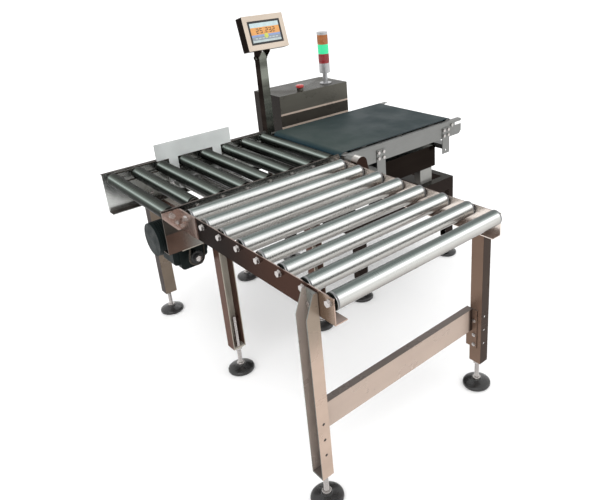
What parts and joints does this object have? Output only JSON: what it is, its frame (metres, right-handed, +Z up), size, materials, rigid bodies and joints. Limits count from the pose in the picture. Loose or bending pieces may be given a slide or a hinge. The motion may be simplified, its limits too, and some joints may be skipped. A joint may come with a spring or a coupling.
{
  "type": "checkweigher",
  "caption": "In-line checkweigher: weigh belt on a load cell stand, powered roller section with a side pusher, gravity roller reject conveyor, tilting panel, cabinet and signal tower.",
  "frame": {"origin": "middle of the bounding box's underside, on the floor", "axes": "+X along the line from the roller section to the weigh belt, +Y across the line away from the reject conveyor, +Z up"},
  "size_m": [1.516, 1.677, 1.2371],
  "materials": {
    "stainless": "polished stainless sheet",
    "mirror_stainless": "mirror polished stainless",
    "belt_plate": "matt satin stainless",
    "zinc_roller": "bright zinc plated",
    "dark_roller": "worn zinc plated",
    "axle_steel": "bright drawn steel",
    "chain_steel": "oiled dark steel",
    "bolt_steel": "stainless hex bolts",
    "gear_green": "dark green enamel",
    "motor_teal": "teal enamel",
    "pusher_grey": "fine matt stainless",
    "aluminium": "machined",
    "belt_green": "smooth dark green belt",
    "foot_black": "black moulded foot",
    "screen": "lit touch screen",
    "lens_amber": "amber lens",
    "lens_green": "lit green lens",
    "lens_red": "dark red lens",
    "tower_silver": "satin silver",
    "stop_red": "red moulded",
    "device_grey": "grey moulded"
  },
  "bodies": {
    "main_roller_1": {"main_roller_1": "dark_roller"},
    "main_roller_2": {"main_roller_2": "dark_roller"},
    "main_roller_3": {"main_roller_3": "dark_roller"},
    "main_roller_4": {"main_roller_4": "dark_roller"},
    "main_roller_5": {"main_roller_5": "dark_roller"},
    "main_roller_6": {"main_roller_6": "dark_roller"},
    "main_roller_7": {"main_roller_7": "dark_roller"},
    "main_roller_8": {"main_roller_8": "dark_roller"},
    "gravity_roller_1": {"gravity_roller_1": "zinc_roller"},
    "gravity_roller_2": {"gravity_roller_2": "zinc_roller"},
    "gravity_roller_3": {"gravity_roller_3": "zinc_roller"},
    "gravity_roller_4": {"gravity_roller_4": "zinc_roller"},
    "gravity_roller_5": {"gravity_roller_5": "zinc_roller"},
    "gravity_roller_6": {"gravity_roller_6": "zinc_roller"},
    "gravity_roller_7": {"gravity_roller_7": "zinc_roller"},
    "gravity_roller_8": {"gravity_roller_8": "zinc_roller"},
    "drive_sprocket": {"drive_sprocket": "chain_steel"},
    "pusher": {"pusher_plate": "pusher_grey", "pusher_carriage": "aluminium"},
    "belt_drive_roller": {"belt_drive_roller": "axle_steel"},
    "belt_tail_roller": {"belt_tail_roller": "axle_steel"},
    "belt_motor_sprocket": {"belt_motor_sprocket": "chain_steel"},
    "cabinet_door": {"cabinet_door": "mirror_stainless"},
    "operator_panel": {"hmi_housing": "stainless", "hmi_screen": "screen"},
    "stop_button": {"estop_button": "stop_red"},
    "foot_main_near_left": {"foot_main_near_left": "foot_black"},
    "foot_main_near_right": {"foot_main_near_right": "foot_black"},
    "foot_main_far_left": {"foot_main_far_left": "foot_black"},
    "foot_main_far_right": {"foot_main_far_right": "foot_black"},
    "foot_reject_left": {"foot_reject_left": "foot_black"},
    "foot_reject_right": {"foot_reject_right": "foot_black"},
    "foot_weigh_near_left": {"foot_weigh_near_left": "foot_black"},
    "foot_weigh_near_right": {"foot_weigh_near_right": "foot_black"},
    "foot_weigh_far_left": {"foot_weigh_far_left": "foot_black"},
    "foot_weigh_far_right": {"foot_weigh_far_right": "foot_black"},
    "frame": {"main_rails": "stainless", "roller_axles": "axle_steel", "drive_chains": "chain_steel", "gear_motor": "gear_green", "main_stand": "stainless", "pusher_slide": "axle_steel", "gravity_rails": "stainless", "gravity_stand": "stainless", "weigh_belt": "belt_green", "belt_frame": "belt_plate", "belt_motor": "motor_teal", "drive_guard": "mirror_stainless", "support_brackets": "belt_plate", "load_cell": "aluminium", "weigh_box": "mirror_stainless", "weigh_stand": "stainless", "hmi_column": "stainless", "control_cabinet": "mirror_stainless", "cabinet_electronics": "device_grey", "tower_base": "tower_silver", "tower_lens_red": "lens_red", "tower_lens_green": "lens_green", "tower_lens_amber": "lens_amber", "fasteners": "bolt_steel"}
  },
  "joints": [
    {"name": "main_roller_1_spin", "type": "hinge", "parent": "frame", "child": "main_roller_1", "pos_m": [-0.722, 0.2395, 0.697], "axis": [0, 1, 0], "continuous": true},
    {"name": "main_roller_2_spin", "type": "hinge", "parent": "frame", "child": "main_roller_2", "pos_m": [-0.622, 0.2395, 0.697], "axis": [0, 1, 0], "continuous": true},
    {"name": "main_roller_3_spin", "type": "hinge", "parent": "frame", "child": "main_roller_3", "pos_m": [-0.522, 0.2395, 0.697], "axis": [0, 1, 0], "continuous": true},
    {"name": "main_roller_4_spin", "type": "hinge", "parent": "frame", "child": "main_roller_4", "pos_m": [-0.422, 0.2395, 0.697], "axis": [0, 1, 0], "continuous": true},
    {"name": "main_roller_5_spin", "type": "hinge", "parent": "frame", "child": "main_roller_5", "pos_m": [-0.322, 0.2395, 0.697], "axis": [0, 1, 0], "continuous": true},
    {"name": "main_roller_6_spin", "type": "hinge", "parent": "frame", "child": "main_roller_6", "pos_m": [-0.222, 0.2395, 0.697], "axis": [0, 1, 0], "continuous": true},
    {"name": "main_roller_7_spin", "type": "hinge", "parent": "frame", "child": "main_roller_7", "pos_m": [-0.122, 0.2395, 0.697], "axis": [0, 1, 0], "continuous": true},
    {"name": "main_roller_8_spin", "type": "hinge", "parent": "frame", "child": "main_roller_8", "pos_m": [-0.022, 0.2395, 0.697], "axis": [0, 1, 0], "continuous": true},
    {"name": "gravity_roller_1_spin", "type": "hinge", "parent": "frame", "child": "gravity_roller_1", "pos_m": [-0.354, -0.0715, 0.697], "axis": [1, 0, 0], "continuous": true},
    {"name": "gravity_roller_2_spin", "type": "hinge", "parent": "frame", "child": "gravity_roller_2", "pos_m": [-0.354, -0.1775, 0.697], "axis": [1, 0, 0], "continuous": true},
    {"name": "gravity_roller_3_spin", "type": "hinge", "parent": "frame", "child": "gravity_roller_3", "pos_m": [-0.354, -0.2835, 0.697], "axis": [1, 0, 0], "continuous": true},
    {"name": "gravity_roller_4_spin", "type": "hinge", "parent": "frame", "child": "gravity_roller_4", "pos_m": [-0.354, -0.3895, 0.697], "axis": [1, 0, 0], "continuous": true},
    {"name": "gravity_roller_5_spin", "type": "hinge", "parent": "frame", "child": "gravity_roller_5", "pos_m": [-0.354, -0.4955, 0.697], "axis": [1, 0, 0], "continuous": true},
    {"name": "gravity_roller_6_spin", "type": "hinge", "parent": "frame", "child": "gravity_roller_6", "pos_m": [-0.354, -0.6015, 0.697], "axis": [1, 0, 0], "continuous": true},
    {"name": "gravity_roller_7_spin", "type": "hinge", "parent": "frame", "child": "gravity_roller_7", "pos_m": [-0.354, -0.7075, 0.697], "axis": [1, 0, 0], "continuous": true},
    {"name": "gravity_roller_8_spin", "type": "hinge", "parent": "frame", "child": "gravity_roller_8", "pos_m": [-0.354, -0.8135, 0.697], "axis": [1, 0, 0], "continuous": true},
    {"name": "drive_sprocket_spin", "type": "hinge", "parent": "frame", "child": "drive_sprocket", "pos_m": [-0.648, 0.0295, 0.5], "axis": [0, 1, 0], "continuous": true},
    {"name": "pusher_slide", "type": "slide", "parent": "frame", "child": "pusher", "axis": [0, -1, 0], "range_m": [0, 0.425]},
    {"name": "belt_drive_roller_spin", "type": "hinge", "parent": "frame", "child": "belt_drive_roller", "pos_m": [0.046, 0.2395, 0.6927], "axis": [0, 1, 0], "continuous": true},
    {"name": "belt_tail_roller_spin", "type": "hinge", "parent": "frame", "child": "belt_tail_roller", "pos_m": [0.689, 0.2395, 0.6927], "axis": [0, 1, 0], "continuous": true},
    {"name": "belt_motor_spin", "type": "hinge", "parent": "frame", "child": "belt_motor_sprocket", "pos_m": [0.066, -0.0905, 0.592], "axis": [0, 1, 0], "continuous": true},
    {"name": "cabinet_door_swing", "type": "hinge", "parent": "frame", "child": "cabinet_door", "pos_m": [0.582, 0.8115, 0.643], "axis": [0, 0, -1], "range_deg": [0, 110]},
    {"name": "panel_tilt", "type": "hinge", "parent": "frame", "child": "operator_panel", "pos_m": [0.064, 0.5825, 1.045], "axis": [-1, 0, 0], "range_deg": [-10, 20]},
    {"name": "stop_press", "type": "slide", "parent": "frame", "child": "stop_button", "axis": [0, 0, -1], "range_m": [0, 0.004], "stiffness_N_per_m": 800, "springref_m": -0.004},
    {"name": "foot_main_near_left_adjust", "type": "slide", "parent": "frame", "child": "foot_main_near_left", "axis": [0, 0, -1], "range_m": [0, 0.04]},
    {"name": "foot_main_near_right_adjust", "type": "slide", "parent": "frame", "child": "foot_main_near_right", "axis": [0, 0, -1], "range_m": [0, 0.04]},
    {"name": "foot_main_far_left_adjust", "type": "slide", "parent": "frame", "child": "foot_main_far_left", "axis": [0, 0, -1], "range_m": [0, 0.04]},
    {"name": "foot_main_far_right_adjust", "type": "slide", "parent": "frame", "child": "foot_main_far_right", "axis": [0, 0, -1], "range_m": [0, 0.04]},
    {"name": "foot_reject_left_adjust", "type": "slide", "parent": "frame", "child": "foot_reject_left", "axis": [0, 0, -1], "range_m": [0, 0.04]},
    {"name": "foot_reject_right_adjust", "type": "slide", "parent": "frame", "child": "foot_reject_right", "axis": [0, 0, -1], "range_m": [0, 0.04]},
    {"name": "foot_weigh_near_left_adjust", "type": "slide", "parent": "frame", "child": "foot_weigh_near_left", "axis": [0, 0, -1], "range_m": [0, 0.04]},
    {"name": "foot_weigh_near_right_adjust", "type": "slide", "parent": "frame", "child": "foot_weigh_near_right", "axis": [0, 0, -1], "range_m": [0, 0.04]},
    {"name": "foot_weigh_far_left_adjust", "type": "slide", "parent": "frame", "child": "foot_weigh_far_left", "axis": [0, 0, -1], "range_m": [0, 0.04]},
    {"name": "foot_weigh_far_right_adjust", "type": "slide", "parent": "frame", "child": "foot_weigh_far_right", "axis": [0, 0, -1], "range_m": [0, 0.04]}
  ],
  "couplings": [
    {"joint": "main_roller_2_spin", "follows": "main_roller_1_spin", "ratio": 1},
    {"joint": "main_roller_3_spin", "follows": "main_roller_1_spin", "ratio": 1},
    {"joint": "main_roller_4_spin", "follows": "main_roller_1_spin", "ratio": 1},
    {"joint": "main_roller_5_spin", "follows": "main_roller_1_spin", "ratio": 1},
    {"joint": "main_roller_6_spin", "follows": "main_roller_1_spin", "ratio": 1},
    {"joint": "main_roller_7_spin", "follows": "main_roller_1_spin", "ratio": 1},
    {"joint": "main_roller_8_spin", "follows": "main_roller_1_spin", "ratio": 1},
    {"joint": "drive_sprocket_spin", "follows": "main_roller_1_spin", "ratio": 0.72},
    {"joint": "belt_tail_roller_spin", "follows": "belt_drive_roller_spin", "ratio": 1},
    {"joint": "belt_motor_spin", "follows": "belt_drive_roller_spin", "ratio": 1}
  ]
}
